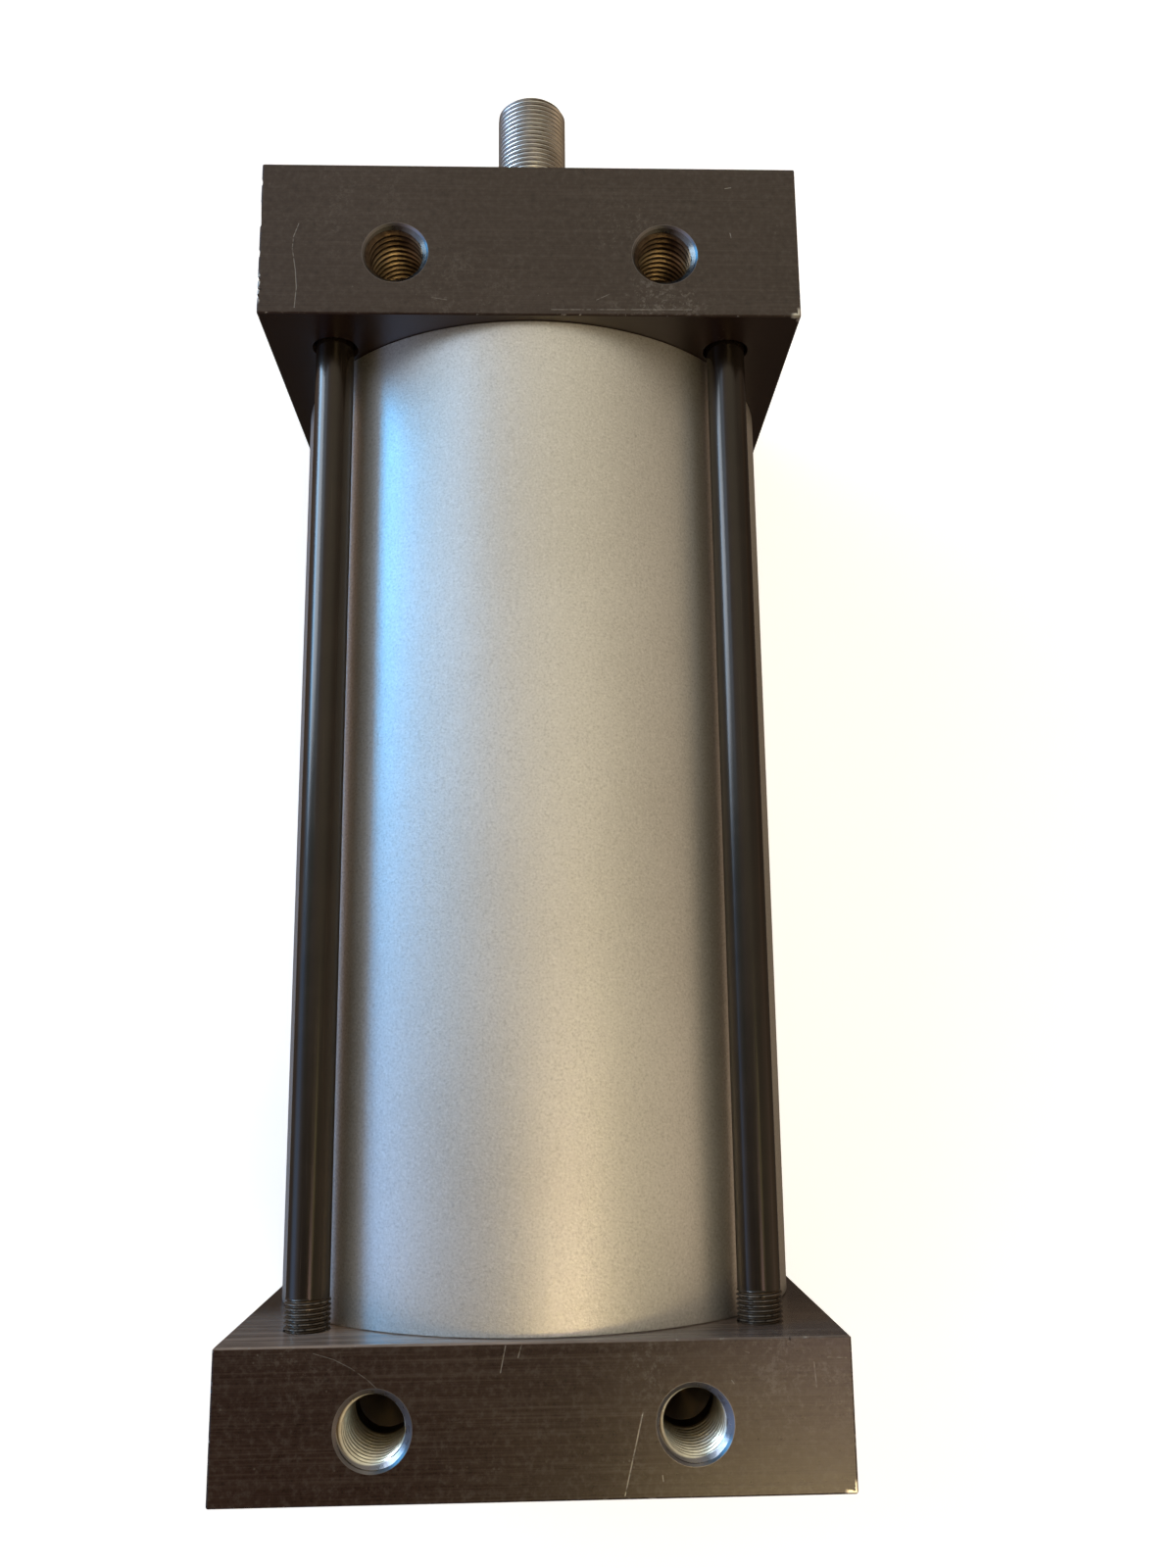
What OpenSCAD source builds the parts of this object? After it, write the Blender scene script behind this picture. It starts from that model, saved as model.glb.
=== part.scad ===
// Tie-rod pneumatic cylinder, double acting, side-tapped mounting.
// It lies on the port face: +Z is the outward normal of the tapped mounting face, +Y is the way the
// rod extends, +X is to the right. The origin is under the middle of the whole, on the port face.
// The rod is drawn fully retracted. Threads are plain cylinders at their major diameter.

/* [Cylinder] */
// Bore of the tube
bore_d = 152.4; // [150:0.1:153]
// Stroke of the piston rod
stroke = 254; // [101.6:12.7:508]
// Wall thickness of the tube
tube_wall = 3.175; // [2.5:0.005:3.3]

/* [End blocks] */
// Side of the square end blocks
block_w = 165.1; // [164:0.1:175]
// Thickness of the rod-end block (head)
head_t = 50.8; // [48:0.1:60]
// Thickness of the blind-end block (cap)
cap_t = 38.1; // [36:0.1:50]
// Bevel on the outer edges of both blocks
edge_bevel = 0.5; // [0.2:0.1:1.5]
// Height of the round pilot that enters the tube at each end
pilot_len = 6.35; // [5:0.05:9]

/* [Mounting holes and ports] */
// Major diameter of the tapped mounting holes (3/4-10)
mount_hole_d = 19.05; // [15.9:0.05:20]
// Depth of the tapped mounting holes
mount_hole_depth = 28.575; // [20:0.005:34]
// Distance between the two holes of one block, across the cylinder
mount_spacing = 82.55; // [76:0.05:86]
// Distance of holes and ports from the inner face of their block
side_station = 20.6375; // [18:0.0125:22]
// Working diameter of the pipe-threaded ports (3/4 NPT)
port_d = 24.4; // [20:0.1:25]
// Depth of the pipe thread
port_depth = 20; // [15:0.5:24]
// Diameter of the air passage from the port to the cavity
passage_d = 16; // [10:0.5:17]

/* [Tie rods] */
// Distance between tie rods, along each side of the square
tie_spacing = 123.95; // [123:0.05:126]
// Thread diameter of the tie rods (1/2-20)
tie_thread_d = 12.7; // [11:0.05:13.2]
// Shank diameter of the tie rods
tie_shank_d = 11.9; // [10:0.05:12.6]
// Thread of each tie rod that stands clear of the cap inside
tie_thread_show = 8.5; // [2:0.5:20]
// Width of the tie-rod nuts across the flats
nut_af = 19.05; // [18:0.05:20]
// Thickness of the tie-rod nuts
nut_t = 11.1; // [8:0.1:12]

/* [Piston rod] */
// Diameter of the piston rod
rod_d = 34.925; // [30:0.005:36]
// Distance from the head to the rod's shoulder, retracted
shoulder_out = 41.275; // [38:0.005:60]
// Major diameter of the rod-end thread (1-14)
rod_thread_d = 25.4; // [20:0.05:27]
// Length of the rod-end thread
rod_thread_len = 41.275; // [25:0.005:60]
// Width across the wrench flats
flat_af = 28.575; // [27.5:0.005:29.5]
// Length of the wrench flats
flat_len = 15.875; // [10:0.005:17]

/* [Gland] */
// Diameter of the gland's pilot in front of the retainer
gland_pilot_d = 50.8; // [49:0.1:52]
// Length of that pilot
gland_pilot_len = 9.525; // [5:0.005:12]
// Diameter of the retainer plate
retainer_d = 88.9; // [86:0.1:95]
// Thickness of the retainer plate
retainer_t = 9.525; // [8:0.005:12]
// Number of retainer screws
screw_count = 4; // [3:1:6]

/* [Piston] */
// Width of the piston
piston_w = 24.9; // [24:0.1:32]
// Width of each lip seal
seal_w = 4.8; // [4:0.1:5]
// Width of the wear band
band_w = 6.35; // [5:0.05:7]

/* [Hidden] */
$fn = 96;
small_fn = 48;          // facets of screws and their holes
cord_fn = 32;           // facets of a ring's cord

// Clearances
eps = 0.01;            // cutters with a bevelled mouth start this far outside the face
over = 1;              // plain cutters run this far past a face
end_gap = 0.25;        // piston to pilot at both ends of the stroke
run = 0.05;            // radial running fit of sliding and turning pairs
slip = 0.05;           // radial fit of parts that are assembled and stay still

// Stations along the axis, counted from the cap's inner face
pilot_face_gap = stroke + piston_w + 2 * end_gap;
tube_len = pilot_face_gap + 2 * pilot_len;
y_head_in = tube_len;
y_head_out = tube_len + head_t;
y_shoulder = y_head_out + shoulder_out;
y_tip = y_shoulder + rod_thread_len;
y_mid = (y_tip - cap_t) / 2;
axis_h = block_w / 2;

// Tube and pilots
tube_r = bore_d / 2 + tube_wall;
bore_r = bore_d / 2;
pilot_play = 0.1;
pilot_r = bore_r - pilot_play;
tube_seal_w = 3.4;
tube_seal_deep = 2.3;
tube_seal_back = 1.6;   // land between the block and the seal groove

// Cavities around the piston nut and the rod
cavity_r = 28.6;
cap_cavity_deep = 30;
gland_in = 20;          // length of gland inside the head
gland_r = 27;
gland_flange_r = 30.2;
gland_flange_t = 6;

// Tie rods
tie_at = tie_spacing / 2;
tie_hole_play = 0.8;    // radial, in the head
tie_hole_head_r = tie_thread_d / 2 + tie_hole_play;
tie_end_sunk = 1.5;     // tie-rod ends stay this far below the cap's outer face
tie_tip_sunk = 0.8;     // and this far below the head's outer face
nut_sink_r = 14.3;
nut_sunk = 1.6;         // nuts stay this far below the head's outer face
nut_sink_deep = nut_t + nut_sunk;
y_tie_back = tie_end_sunk - cap_t;
y_tie_front = y_head_out - tie_tip_sunk;
tie_thread_front = 44.45;

// Mounting holes
mount_bevel = 0.6;
mount_thread_deep = 1.3;
drill_r = mount_hole_d / 2 - mount_thread_deep;
drill_extra = 7;        // drill runs past the thread
drill_tip_deg = 59;
port_bevel = 1;

// Piston rod
rod_r = rod_d / 2;
rod_thread_r = rod_thread_d / 2;
spigot_r = 12.7;
spigot_thread = 15.9;
relief_w = 1.4;
relief_deep = 1.6;
thread_bevel = 1.4;
shoulder_bevel = 0.8;
y_piston = pilot_len + end_gap;
y_piston_front = y_piston + piston_w;

// Piston nut
piston_nut_af = 38.1;
piston_nut_t = 14.3;

// Grooves of the piston
piston_play = 0.3;
piston_r = bore_r - piston_play;
seal_deep = 6.3;
band_deep = 3.2;
groove_play = 0.15;     // axial play of a ring at each side of its groove
land = (piston_w - 2 * (seal_w + 2 * groove_play) - band_w - 2 * groove_play) / 4;
seal_rear_at = land;
band_at = seal_rear_at + seal_w + 2 * groove_play + land;
seal_front_at = band_at + band_w + 2 * groove_play + land;
rod_oring_w = 3;
rod_oring_deep = 1.9;
rod_oring_at = piston_w / 2;

// Grooves of the gland
rod_seal_w = 6.35;
rod_seal_deep = 5;
rod_seal_r = rod_r + rod_seal_deep;
rod_seal_at = 3.2;      // from the gland's inner end
rod_seal_play = 0.1;    // axial, at each side
wiper_w = 5;
wiper_deep = 4.2;
wiper_r = rod_r + wiper_deep;
undercut = 1;           // depth of the gland's neck below its pilot, and its length past the retainer
gland_len = gland_in + retainer_t + gland_pilot_len;
gland_oring_w = 4;
gland_oring_deep = 2.5;
gland_oring_at = 8;     // from the gland's inner end

// Retainer screws (1/4-28 socket head cap screws)
screw_at = 35.7;
screw_head_r = 4.76;
screw_head_h = 6.35;
screw_r = 3.175;
screw_len = 19.05;
screw_socket_af = 4.76;
screw_socket_deep = 3.2;
screw_sink_deep = 7;
screw_play = 0.3;       // radial, in the retainer
screw_hole_spare = 3;
screw_hole_deep = screw_len - retainer_t + screw_sink_deep + screw_hole_spare;
first_screw_deg = 45;

// Colours
black_anodised = [0.16, 0.13, 0.12];
tube_silver = [0.72, 0.71, 0.69];
black_oxide = [0.12, 0.11, 0.10];
bright_steel = [0.80, 0.79, 0.76];
dull_steel = [0.45, 0.44, 0.42];
bronze = [0.66, 0.48, 0.26];
piston_grey = [0.68, 0.69, 0.70];
seal_black = [0.07, 0.07, 0.08];
band_cream = [0.80, 0.76, 0.62];

// Puts a shape drawn along its own Z on the cylinder's axis, Z towards the rod end, at station y
module on_axis(y) {
    translate([0, y - y_mid, axis_h]) rotate([-90, 0, 0]) children();
}

// The same at one corner of the tie-rod square; side is -1 left or 1 right, face is 1 mounting face
module at_tie(side, face, y) {
    translate([side * tie_at, y - y_mid, axis_h + face * tie_at]) rotate([-90, 0, 0]) children();
}

// The same at all four corners of the tie-rod square
module at_ties(y) {
    for (side = [-1, 1], face = [-1, 1]) at_tie(side, face, y) children();
}

// At each retainer screw's place round the Z axis
module at_screws() {
    for (i = [0 : screw_count - 1])
        rotate(first_screw_deg + i * 360 / screw_count) translate([screw_at, 0, 0]) children();
}

// A hole cutter with its mouth at station y on the mounting face, pointing down
module from_mount_face(x, y) {
    translate([x, y - y_mid, block_w]) mirror([0, 0, 1]) children();
}

// A ring with a rectangular section, along Z from 0 to w
module ring(inner_r, outer_r, w) {
    rotate_extrude() translate([inner_r, 0]) square([outer_r - inner_r, w]);
}

// A round-section ring centred in a groove that runs from z = 0 to w, between two radii
module oring(inner_r, outer_r, w) {
    cord_play = 0.02;
    cord_r = (outer_r - inner_r) / 2 - cord_play;
    rotate_extrude() translate([(inner_r + outer_r) / 2, w / 2]) circle(r = cord_r, $fn = cord_fn);
}

// Square outline with bevelled corners
module bevel_rect(w, h) {
    b = edge_bevel;
    polygon([
        [b, 0], [w - b, 0], [w, b], [w, h - b],
        [w - b, h], [b, h], [0, h - b], [0, b]
    ]);
}

// Block of thickness t along Z, centred in X and Y, every outer edge bevelled
module bevel_block(t) {
    translate([-block_w / 2, -block_w / 2, 0]) intersection() {
        linear_extrude(t) bevel_rect(block_w, block_w);
        translate([0, block_w, 0]) rotate([90, 0, 0]) linear_extrude(block_w) bevel_rect(block_w, t);
        rotate([90, 0, 90]) linear_extrude(block_w) bevel_rect(block_w, t);
    }
}

// Cylinder pilot with a seal groove round it, standing on z = 0
module tube_pilot() {
    difference() {
        cylinder(r = pilot_r, h = pilot_len);
        translate([0, 0, tube_seal_back]) ring(pilot_r - tube_seal_deep, pilot_r + over, tube_seal_w);
    }
}

// Tapped blind hole: bevelled mouth, threaded length, then the tap drill with its cone
module tapped_hole(r, deep) {
    tip = drill_r / tan(drill_tip_deg);
    rotate_extrude() polygon([
        [0, -eps], [r + mount_bevel + eps, -eps], [r, mount_bevel],
        [r, deep], [drill_r, deep], [drill_r, deep + drill_extra], [0, deep + drill_extra + tip]
    ]);
}

// Port with bevelled mouth, pipe thread and the air passage to the cavity
module port_hole() {
    r = port_d / 2;
    rotate_extrude() polygon([
        [0, -eps], [r + port_bevel + eps, -eps], [r, port_bevel],
        [r, port_depth], [passage_d / 2, port_depth],
        [passage_d / 2, axis_h], [0, axis_h]
    ]);
}

// Both tapped holes and the port of a block, at station y
module side_holes(y) {
    for (side = [-1, 1])
        from_mount_face(side * mount_spacing / 2, y) tapped_hole(mount_hole_d / 2, mount_hole_depth);
    translate([0, y - y_mid, 0]) port_hole();
}

module head_block() {
    color(black_anodised) difference() {
        union() {
            on_axis(y_head_in) bevel_block(head_t);
            on_axis(y_head_in) mirror([0, 0, 1]) tube_pilot();
        }
        side_holes(y_head_in + side_station);
        // cavity, gland bore and the seat of the gland's flange
        on_axis(y_head_in - pilot_len - eps) cylinder(r = cavity_r, h = head_t + pilot_len - gland_in + eps);
        on_axis(y_head_out - gland_in - over) cylinder(r = gland_r + slip, h = gland_in + 2 * over);
        on_axis(y_head_out - gland_flange_t) cylinder(r = gland_flange_r + slip, h = gland_flange_t + over);
        // tie rods and their sunk nuts
        at_ties(y_head_in - over) cylinder(r = tie_hole_head_r, h = head_t + 2 * over);
        at_ties(y_head_out - nut_sink_deep) cylinder(r = nut_sink_r, h = nut_sink_deep + over);
        // retainer screw threads
        on_axis(y_head_out - screw_hole_deep) at_screws()
            cylinder(r = screw_r + slip, h = screw_hole_deep + over, $fn = small_fn);
    }
}

module cap_block() {
    color(black_anodised) difference() {
        union() {
            on_axis(-cap_t) bevel_block(cap_t);
            on_axis(0) tube_pilot();
        }
        side_holes(-side_station);
        on_axis(-cap_cavity_deep) cylinder(r = cavity_r, h = cap_cavity_deep + pilot_len + over);
        // the tie rods screw into these
        at_ties(-cap_t - over) cylinder(r = tie_thread_d / 2 + slip, h = cap_t + 2 * over);
    }
}

module tube() {
    color(tube_silver) on_axis(0) ring(bore_r, tube_r, tube_len);
}

// One tie rod: thread, shank, thread, with bevelled ends
module tie_rod(side, face) {
    thread_r = tie_thread_d / 2;
    shank_r = tie_shank_d / 2;
    bevel = 1;
    run_out = 0.4;
    length = y_tie_front - y_tie_back;
    rear_thread = tie_thread_show - y_tie_back;
    front_thread = length - tie_thread_front;
    color(black_oxide) at_tie(side, face, y_tie_back) rotate_extrude() polygon([
        [0, 0], [thread_r - bevel, 0], [thread_r, bevel],
        [thread_r, rear_thread], [shank_r, rear_thread + run_out],
        [shank_r, front_thread - run_out], [thread_r, front_thread],
        [thread_r, length - bevel], [thread_r - bevel, length], [0, length]
    ]);
}

// Corner radius of a hexagon from its width across the flats
function hex_corner(af) = af / 2 / cos(30);

// Hexagon nut on z = 0, its corners turned down to a cone on the outer face
module hex_nut(af, t, hole_r) {
    corner_r = hex_corner(af);
    face_step = 0.2;
    cone_deg = 30;
    face_r = af / 2 - face_step;
    clear_r = corner_r + over;
    difference() {
        intersection() {
            cylinder(r = corner_r, h = t, $fn = 6);
            rotate_extrude() polygon([
                [0, 0], [clear_r, 0], [clear_r, t - (clear_r - face_r) * tan(cone_deg)], [face_r, t], [0, t]
            ]);
        }
        translate([0, 0, -over]) cylinder(r = hole_r, h = t + 2 * over);
    }
}

module tie_rod_nuts() {
    nut_turn = 30;
    color(black_oxide) at_ties(y_head_out - nut_sink_deep)
        rotate(nut_turn) hex_nut(nut_af, nut_t, tie_thread_d / 2 + slip);
}

// Bronze gland: bearing bore, seal groove inside, wiper groove outside, flange under the retainer
module rod_gland() {
    bearing_r = rod_r + run;
    neck_r = gland_pilot_d / 2 - undercut;
    pilot_from = gland_in + retainer_t + undercut;
    bevel = 0.8;
    color(bronze) on_axis(y_head_out - gland_in) difference() {
        rotate_extrude() polygon([
            [bearing_r, 0], [gland_r, 0], [gland_r, gland_in - gland_flange_t],
            [gland_flange_r, gland_in - gland_flange_t], [gland_flange_r, gland_in],
            [neck_r, gland_in], [neck_r, pilot_from],
            [gland_pilot_d / 2, pilot_from], [gland_pilot_d / 2, gland_len - bevel],
            [gland_pilot_d / 2 - bevel, gland_len], [bearing_r, gland_len]
        ]);
        translate([0, 0, rod_seal_at]) cylinder(r = rod_seal_r, h = rod_seal_w);
        translate([0, 0, gland_len - wiper_w]) cylinder(r = wiper_r, h = wiper_w + over);
        translate([0, 0, gland_oring_at]) ring(gland_r - gland_oring_deep, gland_r + over, gland_oring_w);
    }
}

module gland_retainer() {
    bevel = 0.6;
    hole_r = gland_pilot_d / 2 + slip;
    color(black_oxide) on_axis(y_head_out) difference() {
        rotate_extrude() polygon([
            [hole_r, 0], [retainer_d / 2, 0], [retainer_d / 2, retainer_t - bevel],
            [retainer_d / 2 - bevel, retainer_t], [hole_r, retainer_t]
        ]);
        at_screws() {
            translate([0, 0, -over])
                cylinder(r = screw_r + screw_play, h = retainer_t + 2 * over, $fn = small_fn);
            translate([0, 0, retainer_t - screw_sink_deep])
                cylinder(r = screw_head_r + screw_play, h = screw_sink_deep + over, $fn = small_fn);
        }
    }
}

// One socket head cap screw, head on z = 0 upwards
module cap_screw() {
    bevel = 0.4;
    difference() {
        rotate_extrude($fn = small_fn) polygon([
            [0, -screw_len], [screw_r - bevel, -screw_len], [screw_r, bevel - screw_len], [screw_r, 0],
            [screw_head_r, 0], [screw_head_r, screw_head_h - bevel],
            [screw_head_r - bevel, screw_head_h], [0, screw_head_h]
        ]);
        translate([0, 0, screw_head_h - screw_socket_deep])
            cylinder(r = hex_corner(screw_socket_af), h = screw_socket_deep + over, $fn = 6);
    }
}

module retainer_screws() {
    color(black_oxide) on_axis(y_head_out + retainer_t - screw_sink_deep) at_screws() cap_screw();
}

// Lip seal with an open mouth towards +Z
module lip_seal(inner_r, outer_r, w) {
    mouth_part = 0.16;  // half the mouth, as a part of the seal's height
    heel_part = 0.45;   // solid heel, as a part of its width
    mid_r = (inner_r + outer_r) / 2;
    gap = (outer_r - inner_r) * mouth_part;
    heel = w * heel_part;
    rotate_extrude() polygon([
        [inner_r, 0], [outer_r, 0], [outer_r, w], [mid_r + gap, w],
        [mid_r, heel], [mid_r - gap, w], [inner_r, w]
    ]);
}

module rod_seal() {
    w = rod_seal_w - 2 * rod_seal_play;
    color(seal_black) on_axis(y_head_out - gland_in + rod_seal_at + rod_seal_play + w)
        mirror([0, 0, 1]) lip_seal(rod_r + run, rod_seal_r - slip, w);
}

// Wiper: a heel in its groove and a lip that leans onto the rod
module rod_wiper() {
    back_play = 0.1;
    front_play = 0.2;
    lip = 0.8;
    lip_t = 1.6;
    lip_slope = 0.2;
    heel_off_rod = 0.6;
    w = wiper_w - back_play - front_play;
    color(seal_black) on_axis(y_head_out - gland_in + gland_len - wiper_w + back_play)
        rotate_extrude() polygon([
            [rod_r + heel_off_rod, 0], [wiper_r - slip, 0], [wiper_r - slip, w - lip],
            [rod_r + lip_t, w], [rod_r + run, w - lip_slope], [rod_r + run, w - lip],
            [rod_r + heel_off_rod, w / 2]
        ]);
}

module gland_oring() {
    color(seal_black) on_axis(y_head_out - gland_in + gland_oring_at)
        oring(gland_r - gland_oring_deep, gland_r + slip, gland_oring_w);
}

module head_tube_seal() {
    color(seal_black) on_axis(y_head_in - tube_seal_back - tube_seal_w)
        oring(pilot_r - tube_seal_deep, bore_r, tube_seal_w);
}

module cap_tube_seal() {
    color(seal_black) on_axis(tube_seal_back) oring(pilot_r - tube_seal_deep, bore_r, tube_seal_w);
}

// Piston rod: spigot through the piston, chromed shaft, wrench flats, shoulder, rod-end thread
module piston_rod() {
    spigot_back = y_piston - spigot_thread;
    bevel = 1;
    s = y_piston_front - spigot_back;
    shaft_end = y_shoulder - spigot_back;
    tip = y_tip - spigot_back;
    relief_r = rod_thread_r - relief_deep;
    relief_end = shaft_end + relief_w;
    flat_from = y_shoulder - flat_len;
    color(bright_steel) difference() {
        on_axis(spigot_back) rotate_extrude() polygon([
            [0, 0], [spigot_r - bevel, 0], [spigot_r, bevel], [spigot_r, s], [rod_r, s],
            [rod_r, shaft_end - shoulder_bevel], [rod_r - shoulder_bevel, shaft_end],
            [relief_r, shaft_end], [relief_r, relief_end], [rod_thread_r, relief_end + relief_deep],
            [rod_thread_r, tip - thread_bevel], [rod_thread_r - thread_bevel, tip], [0, tip]
        ]);
        for (side = [-1, 1]) on_axis(flat_from)
            translate([side * (flat_af / 2 + rod_r) - rod_r, -rod_r, 0])
                cube([2 * rod_r, 2 * rod_r, flat_len]);
        on_axis(y_piston + rod_oring_at - rod_oring_w / 2)
            ring(spigot_r - rod_oring_deep, spigot_r + over, rod_oring_w);
    }
}

module piston() {
    bevel = 0.6;
    color(piston_grey) on_axis(y_piston) difference() {
        rotate_extrude() polygon([
            [spigot_r + slip, 0], [piston_r - bevel, 0], [piston_r, bevel], [piston_r, piston_w - bevel],
            [piston_r - bevel, piston_w], [spigot_r + slip, piston_w]
        ]);
        translate([0, 0, seal_rear_at]) ring(piston_r - seal_deep, piston_r + over, seal_w + 2 * groove_play);
        translate([0, 0, band_at]) ring(piston_r - band_deep, piston_r + over, band_w + 2 * groove_play);
        translate([0, 0, seal_front_at]) ring(piston_r - seal_deep, piston_r + over, seal_w + 2 * groove_play);
    }
}

module piston_nut() {
    color(dull_steel) on_axis(y_piston) mirror([0, 0, 1])
        hex_nut(piston_nut_af, piston_nut_t, spigot_r + slip);
}

module piston_rod_oring() {
    color(seal_black) on_axis(y_piston + rod_oring_at - rod_oring_w / 2)
        oring(spigot_r - rod_oring_deep, spigot_r + slip, rod_oring_w);
}

module piston_seal_front() {
    color(seal_black) on_axis(y_piston + seal_front_at + groove_play)
        lip_seal(piston_r - seal_deep + run, bore_r - run, seal_w);
}

module piston_seal_rear() {
    color(seal_black) on_axis(y_piston + seal_rear_at + groove_play + seal_w)
        mirror([0, 0, 1]) lip_seal(piston_r - seal_deep + run, bore_r - run, seal_w);
}

module wear_band() {
    color(band_cream) on_axis(y_piston + band_at + groove_play)
        ring(piston_r - band_deep + run, bore_r - run, band_w);
}

head_block();
cap_block();
tube();
tie_rod(-1, 1);  // tie_rod_front_left
tie_rod(1, 1);  // tie_rod_front_right
tie_rod(-1, -1);  // tie_rod_back_left
tie_rod(1, -1);  // tie_rod_back_right
tie_rod_nuts();
rod_gland();
gland_retainer();
retainer_screws();
rod_seal();
rod_wiper();
gland_oring();
head_tube_seal();
cap_tube_seal();
piston_rod();
piston();
piston_nut();
piston_rod_oring();
piston_seal_front();
piston_seal_rear();
wear_band();
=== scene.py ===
"""Looks of the tie-rod pneumatic cylinder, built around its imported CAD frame.

Row frame: +Z is the outward normal of the tapped mounting face, +Y is the way the rod extends,
+X is to the right, origin under the middle on the port face. Everything is in metres, and a length
written in millimetres carries MM. Only scratches and dents are listed in plain millimetres.
"""

import math
import random

import bmesh
import bpy
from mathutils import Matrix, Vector


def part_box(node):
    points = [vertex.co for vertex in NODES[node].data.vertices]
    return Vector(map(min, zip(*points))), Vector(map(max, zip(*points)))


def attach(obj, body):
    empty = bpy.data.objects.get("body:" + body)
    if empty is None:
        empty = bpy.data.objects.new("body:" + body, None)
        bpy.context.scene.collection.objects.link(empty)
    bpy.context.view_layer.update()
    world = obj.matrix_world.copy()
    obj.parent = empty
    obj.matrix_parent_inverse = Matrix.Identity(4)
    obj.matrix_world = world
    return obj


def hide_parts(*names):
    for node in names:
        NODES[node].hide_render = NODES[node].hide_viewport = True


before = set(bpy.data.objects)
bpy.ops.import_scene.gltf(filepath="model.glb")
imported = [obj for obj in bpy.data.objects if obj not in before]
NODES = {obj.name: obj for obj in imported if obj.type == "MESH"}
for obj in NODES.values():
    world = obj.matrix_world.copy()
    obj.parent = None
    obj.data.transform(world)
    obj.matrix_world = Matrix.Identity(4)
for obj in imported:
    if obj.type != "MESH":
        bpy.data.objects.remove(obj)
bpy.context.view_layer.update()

MM = 0.001

# ---------------------------------------------------------------- sizes, from the CAD frame
head_lo, head_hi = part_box("head_block")
cap_lo, cap_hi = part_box("cap_block")
tube_lo, tube_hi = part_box("tube")
rod_lo, rod_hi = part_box("piston_rod")

AXIS_Z = (head_lo.z + head_hi.z) / 2          # height of the cylinder's axis
FACE_Z = head_hi.z                            # mounting face
HALF = (head_hi.x - head_lo.x) / 2            # half side of the square blocks
TUBE_R = (tube_hi.x - tube_lo.x) / 2
TUBE_WALL = 3.175 * MM
HOLE_X = 41.275 * MM                          # tapped holes, to each side of the middle
HOLE_INSET = 20.6375 * MM                     # tapped holes and ports, from the inner face of each block
HEAD_IN = tube_hi.y                           # inner face of the head
HEAD_OUT = head_hi.y                          # outer face of the head
CAP_IN = tube_lo.y                            # inner face of the cap
HEAD_HOLE_Y = HEAD_IN + HOLE_INSET
CAP_HOLE_Y = CAP_IN - HOLE_INSET
HOLE_MAJOR_R = 9.50 * MM                      # tapped 3/4-10 holes
HOLE_PITCH = 2.54 * MM
HOLE_THREAD_DEEP = 28.575 * MM
HOLE_MOUTH_R = 10.125 * MM
PORT_MAJOR_R = 12.17 * MM                     # pipe thread of the ports
PORT_PITCH = 1.814 * MM
PORT_DEEP = 20 * MM
PORT_MOUTH_R = 13.2 * MM
INTO_WALL = 0.015 * MM                        # thread rings reach this far past the major radius
SHORT = 0.01 * MM                             # and end this far before the thread's depth
OUTSIDE_DEPTH = 0.6134                        # depth of an outside thread, in pitches
INSIDE_DEPTH = 0.5413                         # depth of an inside thread, in pitches

ROD_R = 17.4625 * MM
ROD_MAJOR_R = 12.7 * MM                       # 1-14 thread of the rod end
ROD_PITCH = 1.814 * MM
ROD_THREAD_LONG = 41.275 * MM
ROD_NECK_R = 11.1 * MM                        # relief between the shoulder and the thread
ROD_NECK_LONG = 1.4 * MM
ROD_PISTON_LONG = 40.8 * MM                   # rear step that carries the piston
FLATS_LONG = 15.875 * MM
FLATS_HALF = 14.2875 * MM

TIE_AT = 61.975 * MM                          # tie rods, from the axis along X and Z
TIE_MAJOR_R = 6.35 * MM                       # 1/2-20 thread
TIE_PITCH = 1.27 * MM
TIE_SHANK_R = 5.95 * MM
TIE_TIP_R = 5.35 * MM
TIE_SHOWN = 8.5 * MM                          # thread that stands clear of the cap
TIE_FRONT_LONG = 44.45 * MM

TAU = 2 * math.pi
SHARP_DEG = 32                                # edges over this angle are shaded sharp


# ---------------------------------------------------------------- meshes in rings
def thread_rows(profile, pitch, start, end, limits, sides):
    """Helical rows of (radius, station) from start to end. profile is (part of a pitch, radius);
    limits(station) gives the least and the greatest radius there."""
    steps = len(profile)
    turns = int(math.ceil((end - start) / pitch)) + 2
    rows = []
    for j in range(turns * steps + 1):
        part, radius = profile[j % steps]
        nominal = start - pitch + pitch * (j // steps + part)
        row = []
        for i in range(sides):
            s = min(max(nominal + pitch * i / sides, start), end)
            low, high = limits(s)
            row.append((min(max(radius, low), high), s))
        rows.append(row)
    return rows, steps


def ring_row(radius, station, sides):
    return [(radius, station)] * sides


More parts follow.
